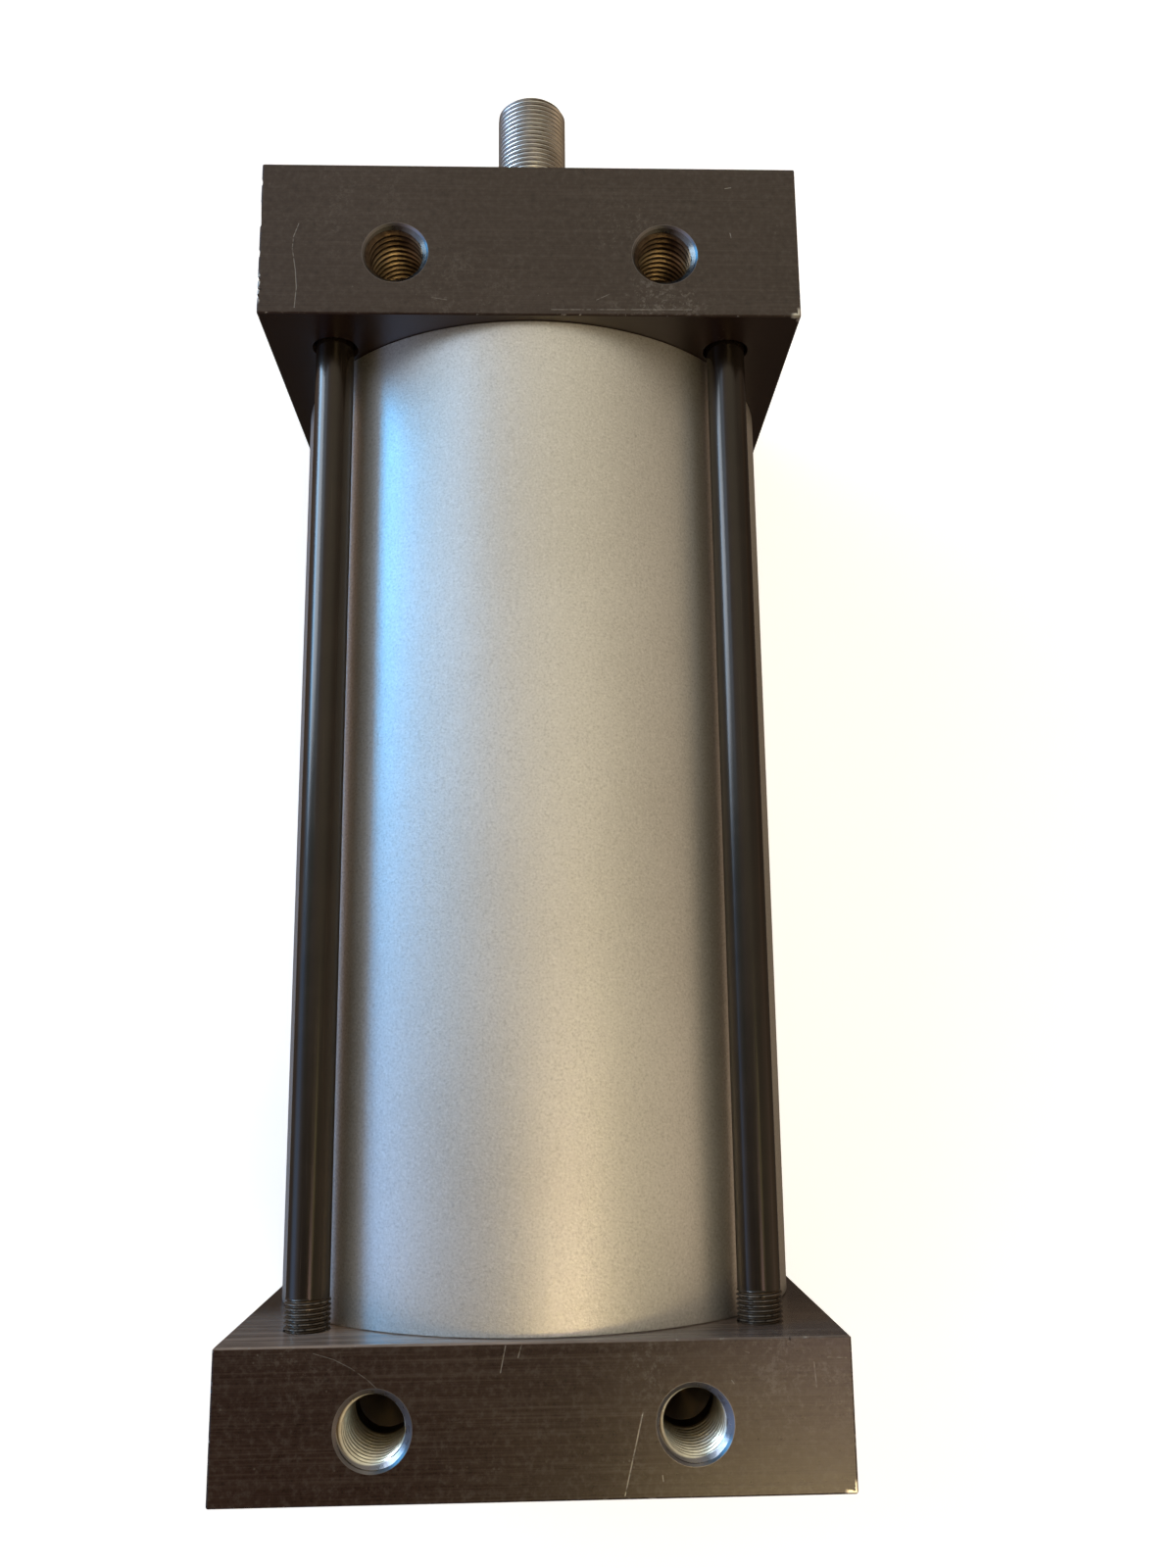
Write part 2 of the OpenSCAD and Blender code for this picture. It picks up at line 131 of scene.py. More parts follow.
def shell(name, parts, sides, place, closed=False, flats=None):
    """One mesh from rows of rings round a local axis. parts is a list of (rows, shift): shift is the
    number of rows by which the last column runs ahead of the first, as on a thread. flats is
    (from, to, half width) of two flats cut along the axis."""
    verts, faces = [], []
    bands = []
    for rows, shift in parts:
        first = len(verts) // sides
        for row in rows:
            for i, (radius, station) in enumerate(row):
                a = TAU * i / sides
                u, v = radius * math.cos(a), radius * math.sin(a)
                if flats and flats[0] < station < flats[1]:
                    v = min(max(v, -flats[2]), flats[2])
                verts.append(place(u, v, station))
        bands.append((first, first + len(rows) - 1, shift))
    for index, (first, last, shift) in enumerate(bands):
        for j in range(first, last):
            for i in range(sides):
                ahead = 0 if i < sides - 1 else shift
                k = (i + 1) % sides
                a, b = j * sides + i, min(j + ahead, last) * sides + k
                c, d = min(j + 1 + ahead, last) * sides + k, (j + 1) * sides + i
                faces.append((a, b, c, d))
        if index + 1 < len(bands) or closed:
            nxt = bands[(index + 1) % len(bands)][0]
            for i in range(sides):
                k = (i + 1) % sides
                faces.append((last * sides + i, last * sides + k, nxt * sides + k, nxt * sides + i))
    if not closed:
        faces.append(tuple(reversed(range(sides))))
        faces.append(tuple(range(bands[-1][1] * sides, bands[-1][1] * sides + sides)))
    return finish_mesh(name, verts, faces)


def new_object(name, data):
    """Object with this data, in the scene."""
    obj = bpy.data.objects.new(name, data)
    bpy.context.scene.collection.objects.link(obj)
    return obj


def finish_mesh(name, verts, faces):
    """Mesh object with doubled points merged, faces turned outwards and edges over an angle sharp."""
    mesh = bpy.data.meshes.new(name)
    mesh.from_pydata(verts, [], [f for f in faces if len(set(f)) > 2])
    bm = bmesh.new()
    bm.from_mesh(mesh)
    bmesh.ops.remove_doubles(bm, verts=bm.verts, dist=2e-7)
    bmesh.ops.dissolve_degenerate(bm, dist=1e-7, edges=bm.edges)
    bmesh.ops.recalc_face_normals(bm, faces=bm.faces)
    bm.to_mesh(mesh)
    bm.free()
    mesh.shade_smooth()
    mesh.set_sharp_from_angle(angle=math.radians(SHARP_DEG))
    return new_object(name, mesh)


def along_y(x, z):
    """Placer for shapes round an axis along +Y through (x, z)."""
    return lambda u, v, s: (x + v, s, z + u)


def outside_thread(major, pitch):
    """60 degree thread with a small flat on the crest and a rounded root."""
    depth = OUTSIDE_DEPTH * pitch
    root = major - depth
    return [
        (0.00, root + 0.06 * depth), (0.06, root), (0.13, root), (0.19, root + 0.06 * depth),
        (0.49, major - 0.10 * depth), (0.53, major - 0.02 * depth), (0.57, major),
        (0.63, major), (0.67, major - 0.02 * depth), (0.71, major - 0.10 * depth),
    ]


def inside_thread(major, pitch):
    """Tapped thread: narrow groove at the major radius, wider crest at the minor one."""
    minor = major - INSIDE_DEPTH * pitch
    depth = major - minor
    return [
        (0.00, major - 0.05 * depth), (0.03, major), (0.11, major), (0.14, major - 0.05 * depth),
        (0.41, minor + 0.10 * depth), (0.45, minor + 0.02 * depth), (0.50, minor),
        (0.64, minor), (0.69, minor + 0.02 * depth), (0.73, minor + 0.10 * depth),
    ]


def rows_of(sides, *points):
    """Plain rings through (radius, station) points."""
    return [ring_row(r, s, sides) for r, s in points]


# ---------------------------------------------------------------- pieces
def make_piston_rod():
    """Rear step, shaft, wrench flats, relief and the threaded end."""
    sides = 128
    bevel, hair = 0.8 * MM, 0.01 * MM
    y0, tip = rod_lo.y, rod_hi.y
    shoulder = tip - ROD_THREAD_LONG
    step = y0 + ROD_PISTON_LONG
    flat_from = shoulder - FLATS_LONG
    start, end = shoulder + ROD_NECK_LONG, tip
    # rings a hair apart give the flats and the shoulder crisp ends
    back = rows_of(sides, (ROD_MAJOR_R - 1 * MM, y0), (ROD_MAJOR_R, y0 + 1 * MM), (ROD_MAJOR_R, step),
                   (ROD_R, step), (ROD_R, flat_from - hair), (ROD_R, flat_from + hair),
                   (ROD_R, shoulder - bevel), (ROD_R - bevel, shoulder),
                   (ROD_NECK_R, shoulder + hair / 10), (ROD_NECK_R, start))

    def limits(s):
        return 0, min(ROD_NECK_R + (s - start), ROD_NECK_R + 0.2 * MM + (end - s))

    rows, steps = thread_rows(outside_thread(ROD_MAJOR_R, ROD_PITCH), ROD_PITCH, start, end, limits, sides)
    return shell("piston_rod_turned", [(back, 0), (rows, steps)], sides, along_y(0, AXIS_Z),
                 flats=(flat_from, shoulder + hair / 20, FLATS_HALF))


def make_tie_rod(name, x, z, y0, y1):
    """Shank between two threads. Each thread runs out into the shank and ends in a bevel."""
    sides = 56
    hair, run_out, collar = 0.001 * MM, 0.6, 0.4 * MM
    profile = outside_thread(TIE_MAJOR_R, TIE_PITCH)
    rear_end = CAP_IN + TIE_SHOWN
    front_start = y1 - TIE_FRONT_LONG

    def rear_limits(s):
        low = TIE_SHANK_R if s > rear_end - hair else 0
        return low, min(TIE_TIP_R + (s - y0), TIE_SHANK_R + max(rear_end - s, 0) * run_out)

    def front_limits(s):
        low = TIE_SHANK_R if s < front_start + hair else 0
        return low, min(TIE_TIP_R + (y1 - s), TIE_SHANK_R + (s - front_start) * run_out)

    rear, steps = thread_rows(profile, TIE_PITCH, y0, rear_end, rear_limits, sides)
    front, _ = thread_rows(profile, TIE_PITCH, front_start, y1, front_limits, sides)
    # a ring near each end of the shank keeps the thread from tilting the shank's shading
    shank = rows_of(sides, (TIE_SHANK_R, rear_end), (TIE_SHANK_R, rear_end + collar),
                    (TIE_SHANK_R, front_start - collar), (TIE_SHANK_R, front_start))
    return shell(name, [(rear, steps), (shank, 0), (front, steps)], sides, along_y(x, z))


def make_hole_thread(name, x, y, major, pitch, deep, mouth_r, upward):
    """Bare thread of a tapped hole, a ring inside its wall. Stations run up to the mouth."""
    outer = major + INTO_WALL
    sides = 112
    mouth = FACE_Z if upward else 0.0
    minor = major - INSIDE_DEPTH * pitch
    low_s = -deep
    high_s = -(mouth_r - outer)

    def limits(s):
        cone = mouth_r + s
        run_out = minor + (s - low_s)
        return max(cone, 0), max(run_out, minor) if cone < outer - 1e-6 else outer

    rows, steps = thread_rows(inside_thread(major, pitch), pitch, low_s, high_s, limits, sides)
    outside = [ring_row(outer, high_s, sides), ring_row(outer, low_s, sides)]
    place = (lambda u, v, s: (x + u, y + v, mouth + s)) if upward else \
        (lambda u, v, s: (x - u, y + v, mouth - s))
    return shell(name, [(rows, steps), (outside, 0)], sides, place, closed=True)


def make_tube():
    """Drawn tube with bevelled outer rims, in short spans along its length."""
    sides, spans = 288, 24
    inner = TUBE_R - TUBE_WALL
    bevel = 0.3 * MM
    lo, hi = tube_lo.y, tube_hi.y
    rows = rows_of(sides, (inner, lo), (TUBE_R - bevel, lo))
    for i in range(spans + 1):
        rows += rows_of(sides, (TUBE_R, lo + bevel + (hi - lo - 2 * bevel) * i / spans))
    rows += rows_of(sides, (TUBE_R - bevel, hi), (inner, hi))
    return shell("tube_drawn", [(rows, 0)], sides, along_y(0, AXIS_Z), closed=True)


def nick_cutter(nicks, seed):
    """Small uneven lumps, each the hull of a few points, that take dents out of a block's edges."""
    rng = random.Random(seed)
    bm = bmesh.new()
    for centre, size in nicks:
        lump = []
        for _ in range(12):
            d = Vector((rng.gauss(0, 1), rng.gauss(0, 1), rng.gauss(0, 1))).normalized()
            reach = rng.uniform(0.8, 1.0) * MM
            point = [c + d[i] * size[i] * reach for i, c in enumerate(centre)]
            lump.append(bm.verts.new(point))
        hull = bmesh.ops.convex_hull(bm, input=lump)
        loose = {v for v in hull["geom_interior"] + hull["geom_unused"] if isinstance(v, bmesh.types.BMVert)}
        bmesh.ops.delete(bm, geom=list(loose), context="VERTS")
    mesh = bpy.data.meshes.new("nicks")
    bm.to_mesh(mesh)
    bm.free()
    return new_object("nicks", mesh)


def make_nicked_block(node, name, nicks, seed):
    """The CAD block's own mesh with dents knocked into its edges."""
    mesh = NODES[node].data.copy()
    # stored normals would shade the new faces wrongly
    if "custom_normal" in mesh.attributes:
        mesh.attributes.remove(mesh.attributes["custom_normal"])
    bm = bmesh.new()
    bm.from_mesh(mesh)
    bmesh.ops.remove_doubles(bm, verts=bm.verts, dist=1e-6)
    bm.to_mesh(mesh)
    bm.free()
    obj = new_object(name, mesh)
    cutter = nick_cutter(nicks, seed)
    cut = obj.modifiers.new("nicks", "BOOLEAN")
    cut.operation = "DIFFERENCE"
    cut.solver = "EXACT"
    cut.object = cutter
    done = bpy.data.meshes.new_from_object(obj.evaluated_get(bpy.context.evaluated_depsgraph_get()))
    obj.modifiers.clear()
    obj.data = done
    bpy.data.objects.remove(cutter)
    done.materials.clear()
    lo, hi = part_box(node)
    for face in done.polygons:
        # flat sides, bevels and dents stay crisp; only the walls of holes are smooth
        gaps = sorted(min(c - a, b - c) for c, a, b in zip(face.center, lo, hi))
        face.use_smooth = max(abs(n) for n in face.normal) < 0.9999 and gaps[0] + gaps[1] > 4 * MM
    done.set_sharp_from_angle(angle=math.radians(SHARP_DEG))
    return obj


# ---------------------------------------------------------------- material nodes
class Look:
    """A material's nodes, with short calls for what is used often."""

    def __init__(self, name):
        self.material = bpy.data.materials.new(name)
        self.material.use_nodes = True
        self.tree = self.material.node_tree
        self.tree.nodes.clear()
        out = self.tree.nodes.new("ShaderNodeOutputMaterial")
        self.bsdf = self.tree.nodes.new("ShaderNodeBsdfPrincipled")
        self.tree.links.new(self.bsdf.outputs[0], out.inputs[0])
        self.place = self.tree.nodes.new("ShaderNodeTexCoord").outputs["Object"]
        split = self.tree.nodes.new("ShaderNodeSeparateXYZ")
        self.tree.links.new(self.place, split.inputs[0])
        self.x, self.y, self.z = split.outputs

    def put(self, socket, value):
        """Link another node's output to a socket, or write a number, vector or colour into it."""
        if isinstance(value, bpy.types.NodeSocket):
            self.tree.links.new(value, socket)
        elif isinstance(value, (tuple, list)) and len(value) == 3 and len(socket.default_value) == 4:
            socket.default_value = (*value, 1)
        else:
            socket.default_value = value

    def set(self, **values):
        """Inputs of the surface shader, by short names."""
        names = {"color": "Base Color", "rough": "Roughness", "metal": "Metallic", "normal": "Normal",
                 "specular": "Specular IOR Level", "tint": "Specular Tint", "coat": "Coat Weight",
                 "coat_rough": "Coat Roughness", "coat_ior": "Coat IOR"}
        for key, value in values.items():
            self.put(self.bsdf.inputs[names[key]], value)

    def math(self, op, a, b=0.0, clamp=False):
        node = self.tree.nodes.new("ShaderNodeMath")
        node.operation = op
        node.use_clamp = clamp
        self.put(node.inputs[0], a)
        self.put(node.inputs[1], b)
        return node.outputs[0]

    def add(self, a, b):
        return self.math("ADD", a, b)

    def sub(self, a, b):
        return self.math("SUBTRACT", a, b)

    def mul(self, a, b):
        return self.math("MULTIPLY", a, b)

    def step(self, value, low, high, to_low=0.0, to_high=1.0):
        """Smooth step of value from low to high."""
        node = self.tree.nodes.new("ShaderNodeMapRange")
        node.interpolation_type = "SMOOTHSTEP"
        for socket, v in zip(node.inputs, (value, low, high, to_low, to_high)):
            self.put(socket, v)
        return node.outputs[0]

    def stretched(self, sx, sy, sz):
        """Object coordinates times a scale along each axis, per metre."""
        node = self.tree.nodes.new("ShaderNodeVectorMath")
        node.operation = "MULTIPLY"
        self.put(node.inputs[0], self.place)
        node.inputs[1].default_value = (sx, sy, sz)
        return node.outputs[0]

    def noise(self, scale, detail=3.0, rough=0.5, vector=None, shift=0.0):
        """Soft noise, 0 to 1. A shift gives another pattern of the same kind."""
        node = self.tree.nodes.new("ShaderNodeTexNoise")
        node.noise_dimensions = "4D"
        node.inputs["W"].default_value = shift
        node.inputs["Scale"].default_value = scale
        node.inputs["Detail"].default_value = detail
        node.inputs["Roughness"].default_value = rough
        self.put(node.inputs["Vector"], vector or self.place)
        return node.outputs[0]

    def cells(self, scale):
        """Distance to the nearest of many scattered points."""
        node = self.tree.nodes.new("ShaderNodeTexVoronoi")
        node.inputs["Scale"].default_value = scale
        self.put(node.inputs["Vector"], self.place)
        return node.outputs["Distance"]

    def mix(self, factor, a, b):
        """Colour between a and b."""
        node = self.tree.nodes.new("ShaderNodeMix")
        node.data_type = "RGBA"
        self.put(node.inputs["Factor"], factor)
        self.put(node.inputs[6], a)
        self.put(node.inputs[7], b)
        return node.outputs[2]

    def blend(self, factor, a, b):
        """Number between a and b."""
        node = self.tree.nodes.new("ShaderNodeMix")
        self.put(node.inputs["Factor"], factor)
        self.put(node.inputs[2], a)
        self.put(node.inputs[3], b)
        return node.outputs[0]

    def bump(self, height, distance):
        node = self.tree.nodes.new("ShaderNodeBump")
        node.inputs["Distance"].default_value = distance
        node.inputs["Strength"].default_value = 1.0
        self.put(node.inputs["Height"], height)
        return node.outputs[0]

    def radius(self, a, b, a0, b0):
        """Distance of coordinates a and b from a centre line at a0, b0."""
        da, db = self.sub(a, a0), self.sub(b, b0)
        return self.math("SQRT", self.add(self.mul(da, da), self.mul(db, db)))

    def distance(self, place):
        """Distance to a point."""
        node = self.tree.nodes.new("ShaderNodeVectorMath")
        node.operation = "DISTANCE"
        self.put(node.inputs[0], self.place)
        node.inputs[1].default_value = place
        return node.outputs["Value"]

    def line_mask(self, a, b, width):
        """1 on a line from point a to point b, 0 beyond its width."""
        a, b = Vector(a), Vector(b)
        sub = self.tree.nodes.new("ShaderNodeVectorMath")
        sub.operation = "SUBTRACT"
        self.put(sub.inputs[0], self.place)
        sub.inputs[1].default_value = a
        dot = self.tree.nodes.new("ShaderNodeVectorMath")
        dot.operation = "DOT_PRODUCT"
        self.put(dot.inputs[0], sub.outputs[0])
        dot.inputs[1].default_value = (b - a) / (b - a).length_squared
        part = self.math("MULTIPLY", dot.outputs["Value"], 1.0, clamp=True)
        along = self.tree.nodes.new("ShaderNodeVectorMath")
        along.operation = "SCALE"
        along.inputs[0].default_value = b - a
        self.put(along.inputs["Scale"], part)
        off = self.tree.nodes.new("ShaderNodeVectorMath")
        off.operation = "DISTANCE"
        self.put(off.inputs[0], sub.outputs[0])
        self.put(off.inputs[1], along.outputs[0])
        return self.step(off.outputs["Value"], width, width * 0.3)


def maximum(look, *values):
    """Greatest of some node values."""
    out = values[0]
    for v in values[1:]:
        out = look.math("MAXIMUM", out, v)
    return out


BARE = (0.66, 0.63, 0.58)                     # worn edges and scratches
CONE = (0.20, 0.185, 0.19)                    # inside the holes and ports, and the cones at their mouths


def block_look(name, lo, hi, hole_y, scratches, worn, scuffs_and_sheen, dyes, gloss, paint_inner_lit):
    """Black anodised aluminium with milling lines, scratches, bare edges and bare tapped holes.
    scratches are (from, to, width, strength), worn and the pale scuffs and sheen (place, reach, power), dyes
    two colours.
    One block's inner face is painted pale beside the tube, as painted light in rub-like streaks; the other
    block's inner face is painted darker, as painted shade."""
    k = Look(name)
    centre, half = (lo + hi) / 2, (hi - lo) / 2
    # distance to the nearest edge of the block
    gaps = [k.sub(h, k.math("ABSOLUTE", k.sub(c, m)))
            for c, m, h in zip((k.x, k.y, k.z), centre, half)]
    least = k.math("MINIMUM", k.math("MINIMUM", gaps[0], gaps[1]), gaps[2])
    most = k.math("MAXIMUM", k.math("MAXIMUM", gaps[0], gaps[1]), gaps[2])
    total = k.add(k.add(gaps[0], gaps[1]), gaps[2])
    edge = k.sub(k.sub(total, least), most)
    # milling lines run along X, blotches in the dye, fine grain
    lines = k.noise(1.0, 4.0, 0.6, k.stretched(14, 2300, 2300))
    wide_lines = k.noise(1.0, 2.0, 0.5, k.stretched(5, 420, 420), 3.1)
    blotch = k.noise(26, 5.0, 0.6, shift=1.7)
    cloud = k.noise(9, 3.0, 0.5, shift=5.3)
    grain = k.noise(3800, 2.0, 0.5)
    broad_lines = k.noise(1.0, 3.0, 0.6, k.stretched(22, 900, 900), 7.7)
    mottle = k.noise(520, 5.0, 0.7, shift=9.1)
    dye = k.mix(k.step(blotch, 0.35, 0.68), *dyes)
    dye = k.mix(k.mul(k.step(lines, 0.42, 0.75), 0.45), dye, (0.078, 0.054, 0.042))
    dye = k.mix(k.mul(k.step(broad_lines, 0.50, 0.78), 0.45), dye, (0.085, 0.062, 0.050))
    dye = k.mix(k.mul(k.step(mottle, 0.46, 0.68), 0.50), dye, (0.082, 0.064, 0.054))
    dye = k.mix(k.mul(k.step(mottle, 0.46, 0.30), 0.60), dye, (0.012, 0.006, 0.003))
    dye = k.mix(k.mul(k.step(cloud, 0.5, 0.75), 0.30), dye, (0.058, 0.038, 0.026))
    # pale scuffs, gathered in places; on the cap's right side they also lighten the face as painted light
    scuff = k.step(k.add(k.noise(700, 5.0, 0.75, shift=4.9), k.mul(k.noise(90, 2.0, 0.5), 0.3)), 0.66, 0.80)
    near = [k.mul(k.step(k.distance(place), reach, reach * 0.2), power) for place, reach, power in scuffs_and_sheen]
    dye = k.mix(k.mul(scuff, maximum(k, *near)), dye, (0.26, 0.235, 0.205))
    if paint_inner_lit:
        # painted light: beside the tube the inner face and its bevel are painted pale, in rub-like streaks,
        # strongest on the left
        inner = k.step(k.y, hi.y - 0.7 * MM, hi.y - 0.3 * MM)
        streaky = k.add(0.35, k.mul(k.step(k.noise(1.0, 4.0, 0.6, k.stretched(40, 400, 700), 6.3),
                                           0.35, 0.65), 0.5))
        wear = k.mul(inner, k.mul(streaky, k.blend(k.step(k.x, -0.02, 0.05), 1.0, 0.40)))
        wear = k.mul(wear, k.step(k.z, 0.105, 0.145))
        dye = k.mix(wear, dye, (0.46, 0.345, 0.28))
    else:
        # painted shade: the inner face is painted dark
        dye = k.mix(k.step(k.y, lo.y + 0.5 * MM, lo.y), dye, (0.013, 0.0045, 0.002))
    # dust specks
    dot = k.cells(420)
    specks = k.mul(k.step(dot, 0.16, 0.08), k.step(k.noise(60, 2.0, 0.5, shift=8.8), 0.56, 0.68))
    dye = k.mix(k.mul(specks, 0.5), dye, (0.16, 0.14, 0.12))
    # scratches, light and shallow
    marks = maximum(k, *[k.mul(k.line_mask(a, b, w), s) for a, b, w, s in scratches])
    marks = k.mul(marks, k.step(k.noise(900, 2.0, 0.5, shift=2.2), 0.30, 0.55))
    # bare metal: worn edges, chipped where the worn boxes say, and everything inside the tapped holes
    chips = k.noise(330, 4.0, 0.65, shift=4.4)
    fine = k.noise(1500, 2.0, 0.5, shift=6.1)
    rim = k.mul(k.step(edge, 0.55 * MM, 0.15 * MM), k.step(k.add(chips, k.mul(fine, 0.25)), 0.72, 0.80))
    zones = []
    for place, reach, power in worn:
        near = k.step(k.distance(place), reach, reach * 0.55)
        uneven = k.add(edge, k.mul(k.sub(chips, 0.5), 3.2 * MM))
        zones.append(k.mul(near, k.step(uneven, 1.15 * MM * power, 0.75 * MM * power)))
    rim = maximum(k, rim, *zones)
    hole_d = k.radius(k.math("ABSOLUTE", k.x), k.y, HOLE_X, hole_y)
    hole = k.mul(k.step(hole_d, 10.22 * MM, 10.12 * MM), k.step(k.z, FACE_Z - 50 * MM, FACE_Z - 48 * MM))
    port_d = k.radius(k.x, k.y, 0.0, hole_y)
    port = k.mul(k.step(port_d, PORT_MOUTH_R + 0.1 * MM, PORT_MOUTH_R), k.step(k.z, 32 * MM, 30 * MM))
    cut = maximum(k, hole, port)
    # painted shade: the bare metal in the holes is painted darker brown further down
    deep = k.step(k.z, FACE_Z - 3 * MM, FACE_Z - 24 * MM)
    bare = maximum(k, rim, cut, k.mul(marks, 0.55))
    metal_colour = k.mix(k.mul(deep, 0.75), k.mix(cut, BARE, CONE), (0.20, 0.15, 0.10))
    k.set(color=k.mix(bare, dye, metal_colour),
          metal=k.mul(bare, 0.9),
          rough=k.blend(bare, k.add(k.add(gloss, k.mul(blotch, 0.12)), k.mul(lines, 0.10)), 0.30),
          specular=0.5)
    height = k.add(k.mul(lines, 0.5), k.add(k.mul(wide_lines, 0.5), k.mul(grain, 0.35)))
    height = k.add(height, k.mul(mottle, 0.8))
    height = k.sub(height, k.mul(maximum(k, rim, marks), 2.0))
    k.set(normal=k.bump(height, 0.018 * MM))
    return k.material


def tube_look():
    """Clear anodised drawn aluminium: satin, with a fine grain and faint lengthwise marks."""
    k = Look("tube_clear_anodised")
    grain = k.noise(1500, 3.0, 0.6)
    coarse = k.noise(420, 3.0, 0.55, shift=2.0)
    draw = k.noise(1.0, 3.0, 0.6, k.stretched(900, 9, 900), 1.0)
    cloud = k.noise(14, 4.0, 0.55, shift=3.0)
    tint = k.mix(k.step(cloud, 0.35, 0.7), (0.70, 0.675, 0.635), (0.77, 0.75, 0.72))
    tint = k.mix(k.mul(k.step(grain, 0.50, 0.70), 0.48), tint, (0.44, 0.42, 0.39))
    tint = k.mix(k.mul(k.step(grain, 0.50, 0.30), 0.50), tint, (0.95, 0.93, 0.90))
    dot = k.cells(160)
    specks = k.mul(k.step(dot, 0.09, 0.05), k.step(k.noise(30, 2.0, 0.5, shift=8.0), 0.6, 0.66))
    tint = k.mix(k.mul(specks, 0.3), tint, (0.12, 0.10, 0.08))
    # matte etched metal under the smoother anodic film
    k.set(color=tint, metal=0.95,
          rough=k.add(0.44, k.add(k.mul(grain, 0.10), k.mul(cloud, 0.06))),
          specular=0.5, coat=1.0, coat_rough=0.27, coat_ior=2.0)
    height = k.add(k.mul(grain, 1.0), k.add(k.mul(coarse, 0.6), k.mul(draw, 0.25)))
    k.set(normal=k.bump(height, 0.08 * MM))
    k.tree.links.new(k.bsdf.inputs["Normal"].links[0].from_socket, k.bsdf.inputs["Coat Normal"])
    return k.material


def tie_rod_look():
    """Black oxide on steel, oiled; thread crests worn dull and a little rust and dirt by the cap."""
    k = Look("tie_rod_black_oxide")
    r = k.radius(k.math("ABSOLUTE", k.x), k.math("ABSOLUTE", k.sub(k.z, AXIS_Z)), TIE_AT, TIE_AT)
    marks = k.noise(1.0, 3.0, 0.6, k.stretched(1500, 24, 1500))
    blotch = k.noise(70, 5.0, 0.6)
    ends = k.step(k.y, CAP_IN + TIE_SHOWN + 0.2 * MM, CAP_IN + TIE_SHOWN - 0.4 * MM)
    crest = k.mul(k.mul(k.step(r, TIE_SHANK_R, 6.3 * MM), ends), k.step(k.noise(500, 2.0, 0.5), 0.3, 0.6))
    oxide = k.mix(k.step(blotch, 0.35, 0.7), (0.007, 0.0045, 0.0028), (0.013, 0.0085, 0.0055))
    oxide = k.mix(k.mul(k.step(marks, 0.55, 0.8), 0.5), oxide, (0.050, 0.038, 0.028))
    dirt = k.mul(k.mul(k.step(r, 6.0 * MM, 5.65 * MM), ends), 0.8)
    colour = k.mix(crest, k.mix(dirt, oxide, (0.060, 0.040, 0.024)), (0.24, 0.20, 0.165))
    k.set(color=colour, metal=k.blend(crest, 0.0, 0.85),
          rough=k.add(k.add(0.13, k.mul(blotch, 0.08)), k.mul(marks, 0.06)), specular=0.55,
          tint=(1.0, 0.89, 0.82))
    k.set(normal=k.bump(k.add(marks, k.mul(blotch, 0.6)), 0.006 * MM))
    return k.material


def piston_rod_look():
    """Hard-chromed shaft, bright cut thread with brown dirt low in its grooves, ground flats."""
    k = Look("piston_rod_steel")
    r = k.radius(k.x, k.z, 0.0, AXIS_Z)
    on_thread = k.step(k.y, rod_hi.y - 41.3 * MM, rod_hi.y - 41.0 * MM)
    low = k.step(r, 12.42 * MM, 11.85 * MM)
    smear = k.step(k.noise(160, 4.0, 0.6), 0.30, 0.62)
    dirt = k.mul(k.mul(low, on_thread), k.add(k.mul(smear, 0.35), 0.62))
    turned = k.noise(1.0, 2.0, 0.5, k.stretched(60, 5200, 60))
    grind = k.noise(1.0, 3.0, 0.6, k.stretched(4200, 40, 4200), 2.0)
    cloud = k.noise(90, 3.0, 0.5)
    steel = k.mix(on_thread, (0.80, 0.79, 0.77), k.mix(k.step(cloud, 0.4, 0.7), (0.93, 0.91, 0.88),
                                                       (0.84, 0.80, 0.75)))
    k.set(color=k.mix(dirt, steel, (0.060, 0.034, 0.019)),
          metal=k.sub(1.0, k.mul(dirt, 0.75)),
          rough=k.blend(on_thread, k.add(0.07, k.mul(grind, 0.08)),
                        k.add(0.26, k.add(k.mul(cloud, 0.10), k.mul(dirt, 0.3)))))
    k.set(normal=k.bump(k.add(k.mul(turned, on_thread), k.mul(grind, 0.25)), 0.006 * MM))
    return k.material


